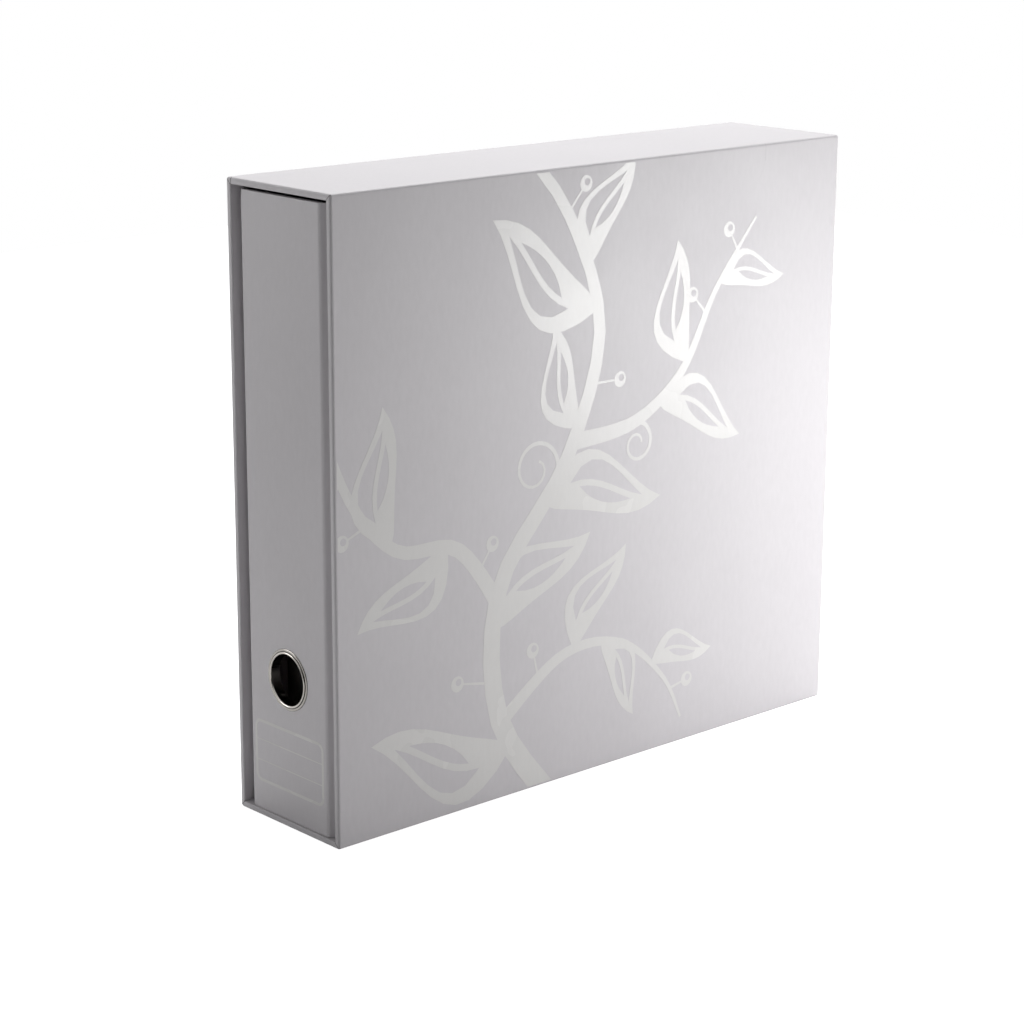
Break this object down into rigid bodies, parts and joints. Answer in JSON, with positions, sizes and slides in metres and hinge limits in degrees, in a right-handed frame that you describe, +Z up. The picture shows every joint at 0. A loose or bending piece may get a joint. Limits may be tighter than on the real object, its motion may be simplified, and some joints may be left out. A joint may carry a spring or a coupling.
{
  "type": "slipcase ring binder",
  "caption": "Wrapped board slipcase with a ring binder that slides out by a finger ring in its spine; D rings on the back cover open by levers.",
  "frame": {"origin": "middle of the slipcase's underside", "axes": "+Z up, +Y from the open mouth to the closed end, +X out of the decorated side"},
  "size_m": [0.0801, 0.35, 0.32],
  "materials": {
    "grey_board": "matt grey board, sealed under paper",
    "satin_paper": "satin silver-white wrapping paper, faintly mottled",
    "lining_paper": "matt inside paper",
    "gloss_print": "pale gloss print on the paper",
    "nickel": "polished nickel-plated steel"
  },
  "bodies": {
    "slipcase": {"slipcase_board": "grey_board", "slipcase_wrap": "satin_paper", "slipcase_lining": "lining_paper", "side_print": "gloss_print"},
    "binder": {"spine_board": "grey_board", "front_cover_board": "grey_board", "back_cover_board": "grey_board", "cover_wrap": "satin_paper", "cover_lining": "lining_paper", "label_print": "gloss_print", "finger_ring": "nickel", "finger_ring_collar": "nickel", "ring_housing": "nickel", "rivet_lower": "nickel", "rivet_upper": "nickel", "lever_pin_lower": "nickel", "lever_pin_upper": "nickel"},
    "page_side_rings": {"blade_page_side": "nickel", "ring_post_1": "nickel", "ring_post_2": "nickel", "ring_post_3": "nickel", "ring_post_4": "nickel"},
    "spine_side_rings": {"blade_spine_side": "nickel", "ring_arch_1": "nickel", "ring_arch_2": "nickel", "ring_arch_3": "nickel", "ring_arch_4": "nickel"},
    "upper_opener": {"lever_upper": "nickel"},
    "lower_opener": {"lever_lower": "nickel"}
  },
  "joints": [
    {"name": "binder_slide", "type": "slide", "parent": "slipcase", "child": "binder", "axis": [0, -1, 0], "range_m": [0, 0.36]},
    {"name": "rings_page_side", "type": "hinge", "parent": "binder", "child": "page_side_rings", "pos_m": [-0.0279, -0.1296, 0.15915], "axis": [0, 0, 1], "range_deg": [0, 10]},
    {"name": "rings_spine_side", "type": "hinge", "parent": "binder", "child": "spine_side_rings", "pos_m": [-0.0279, -0.1522, 0.15915], "axis": [0, 0, -1], "range_deg": [0, 10]},
    {"name": "opener_upper", "type": "hinge", "parent": "binder", "child": "upper_opener", "pos_m": [-0.0287, -0.1409, 0.28865], "axis": [0, -1, 0], "range_deg": [0, 20]},
    {"name": "opener_lower", "type": "hinge", "parent": "binder", "child": "lower_opener", "pos_m": [-0.0287, -0.1409, 0.02965], "axis": [0, 1, 0], "range_deg": [0, 20]}
  ],
  "couplings": [
    {"joint": "rings_spine_side", "follows": "rings_page_side", "ratio": 1},
    {"joint": "opener_upper", "follows": "rings_page_side", "ratio": 2},
    {"joint": "opener_lower", "follows": "rings_page_side", "ratio": 2}
  ]
}
